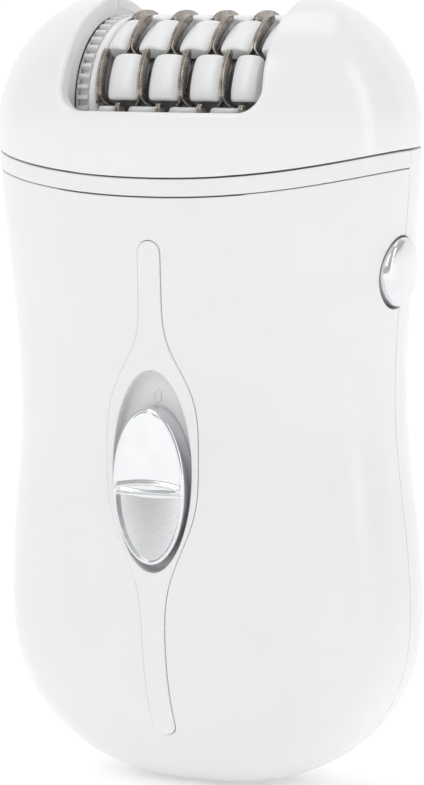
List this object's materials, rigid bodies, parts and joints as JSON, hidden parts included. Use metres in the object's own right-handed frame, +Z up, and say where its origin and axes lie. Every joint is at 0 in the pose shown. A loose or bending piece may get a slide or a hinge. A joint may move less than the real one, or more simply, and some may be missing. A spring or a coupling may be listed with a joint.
{
  "type": "epilator",
  "caption": "Hand-held epilator: a rounded waisted handle with a thumb slider and side button, and a lift-off head whose geared rotor carries paired steel tweezer blades between soft pillows.",
  "frame": {"origin": "centre of the small flat foot at the bottom, which is also the mouth of the power inlet", "axes": "+Z up along the handle to the head, -Y is the front with the thumb slider, +X is to the right as the front is seen, towards the release button"},
  "size_m": [0.0642, 0.0399, 0.115],
  "materials": {
    "shell_white": "satin gloss",
    "head_white": "gloss",
    "inlay_white": "gloss",
    "chrome_trim": "polished",
    "pillow_white": "gloss",
    "gear_white": "satin",
    "inner_plastic": "matt",
    "black_plastic": "matt",
    "blade_steel": "brushed",
    "bright_steel": "satin",
    "magnet_grey": "matt",
    "copper_part": "satin",
    "board_green": "satin",
    "part_blue": "satin",
    "wire_red": "satin",
    "roller_rubber": "matt",
    "bush_bronze": "satin"
  },
  "bodies": {
    "handle": {"front_shell": "shell_white", "rear_shell": "shell_white", "collar_trim": "shell_white", "front_inlay": "inlay_white", "power_inlet": "black_plastic", "inlet_contacts": "copper_part", "chassis": "inner_plastic", "chassis_screws": "bright_steel", "motor_can": "bright_steel", "motor_magnets": "magnet_grey", "motor_end_cap": "inner_plastic", "motor_screws": "bright_steel", "compound_axle": "bright_steel", "output_axle": "bright_steel", "circuit_board": "board_green", "switch_body": "black_plastic", "capacitor": "part_blue", "lead_wires": "wire_red"},
    "thumb": {"thumb_slider": "chrome_trim", "slider_carrier": "inner_plastic"},
    "release": {"release_button": "chrome_trim", "latch_slider": "inner_plastic", "release_spring": "bright_steel"},
    "motor_rotor": {"armature": "copper_part", "motor_shaft": "bright_steel", "pinion": "bush_bronze"},
    "compound": {"compound_gear": "gear_white"},
    "output": {"output_gear": "gear_white"},
    "head": {"head_housing": "head_white", "head_base": "inner_plastic", "bearing_plate_left": "inner_plastic", "bearing_plate_right": "inner_plastic", "shaft_bushes": "bush_bronze", "roller_pins": "bright_steel", "head_screws": "bright_steel"},
    "roller_l": {"roller_left": "roller_rubber"},
    "roller_r": {"roller_right": "roller_rubber"},
    "rotor": {"rotor_shaft": "bright_steel", "rotor_gear": "gear_white", "end_collar": "pillow_white", "disc_1": "pillow_white", "disc_2": "pillow_white", "disc_3": "pillow_white", "disc_4": "pillow_white", "disc_5": "pillow_white", "disc_6": "pillow_white", "disc_7": "pillow_white", "disc_8": "pillow_white", "fixed_blades_odd": "blade_steel", "fixed_blades_even": "blade_steel"},
    "row_1": {"clamp_row_1": "blade_steel"},
    "row_2": {"clamp_row_2": "blade_steel"},
    "row_3": {"clamp_row_3": "blade_steel"},
    "row_4": {"clamp_row_4": "blade_steel"},
    "row_5": {"clamp_row_5": "blade_steel"},
    "row_6": {"clamp_row_6": "blade_steel"},
    "row_7": {"clamp_row_7": "blade_steel"},
    "row_8": {"clamp_row_8": "blade_steel"},
    "row_9": {"clamp_row_9": "blade_steel"},
    "row_10": {"clamp_row_10": "blade_steel"}
  },
  "joints": [
    {"name": "head_lift", "type": "slide", "parent": "handle", "child": "head", "axis": [0, 0, 1], "range_m": [0, 0.025]},
    {"name": "rotor_spin", "type": "hinge", "parent": "head", "child": "rotor", "pos_m": [0, 0, 0.0995], "axis": [1, 0, 0], "continuous": true},
    {"name": "roller_left_spin", "type": "hinge", "parent": "head", "child": "roller_l", "pos_m": [-0.01785, -0.00223, 0.10781], "axis": [0, -0.2588, 0.9659], "continuous": true},
    {"name": "roller_right_spin", "type": "hinge", "parent": "head", "child": "roller_r", "pos_m": [0.01795, -0.00223, 0.10781], "axis": [0, -0.2588, 0.9659], "continuous": true},
    {"name": "output_spin", "type": "hinge", "parent": "handle", "child": "output", "pos_m": [0, 0, 0.081], "axis": [1, 0, 0], "continuous": true},
    {"name": "compound_spin", "type": "hinge", "parent": "handle", "child": "compound", "pos_m": [0, 0, 0.072], "axis": [1, 0, 0], "continuous": true},
    {"name": "motor_spin", "type": "hinge", "parent": "handle", "child": "motor_rotor", "pos_m": [0, 0, 0.062], "axis": [1, 0, 0], "continuous": true},
    {"name": "thumb_slide", "type": "slide", "parent": "handle", "child": "thumb", "axis": [0, 0, 1], "range_m": [0, 0.0045]},
    {"name": "release_press", "type": "slide", "parent": "handle", "child": "release", "axis": [-0.9962, 0, 0.0872], "range_m": [0, 0.0015], "stiffness_N_per_m": 300},
    {"name": "row_1_slide", "type": "slide", "parent": "rotor", "child": "row_1", "axis": [1, 0, 0], "range_m": [0, 0.00045], "stiffness_N_per_m": 200},
    {"name": "row_2_slide", "type": "slide", "parent": "rotor", "child": "row_2", "axis": [1, 0, 0], "range_m": [0, 0.00045], "stiffness_N_per_m": 200},
    {"name": "row_3_slide", "type": "slide", "parent": "rotor", "child": "row_3", "axis": [1, 0, 0], "range_m": [0, 0.00045], "stiffness_N_per_m": 200},
    {"name": "row_4_slide", "type": "slide", "parent": "rotor", "child": "row_4", "axis": [1, 0, 0], "range_m": [0, 0.00045], "stiffness_N_per_m": 200},
    {"name": "row_5_slide", "type": "slide", "parent": "rotor", "child": "row_5", "axis": [1, 0, 0], "range_m": [0, 0.00045], "stiffness_N_per_m": 200},
    {"name": "row_6_slide", "type": "slide", "parent": "rotor", "child": "row_6", "axis": [1, 0, 0], "range_m": [0, 0.00045], "stiffness_N_per_m": 200},
    {"name": "row_7_slide", "type": "slide", "parent": "rotor", "child": "row_7", "axis": [1, 0, 0], "range_m": [0, 0.00045], "stiffness_N_per_m": 200},
    {"name": "row_8_slide", "type": "slide", "parent": "rotor", "child": "row_8", "axis": [1, 0, 0], "range_m": [0, 0.00045], "stiffness_N_per_m": 200},
    {"name": "row_9_slide", "type": "slide", "parent": "rotor", "child": "row_9", "axis": [1, 0, 0], "range_m": [0, 0.00045], "stiffness_N_per_m": 200},
    {"name": "row_10_slide", "type": "slide", "parent": "rotor", "child": "row_10", "axis": [1, 0, 0], "range_m": [0, 0.00045], "stiffness_N_per_m": 200}
  ],
  "couplings": [
    {"joint": "compound_spin", "follows": "motor_spin", "ratio": -0.33333},
    {"joint": "output_spin", "follows": "motor_spin", "ratio": 0.16667},
    {"joint": "rotor_spin", "follows": "motor_spin", "ratio": -0.08}
  ]
}
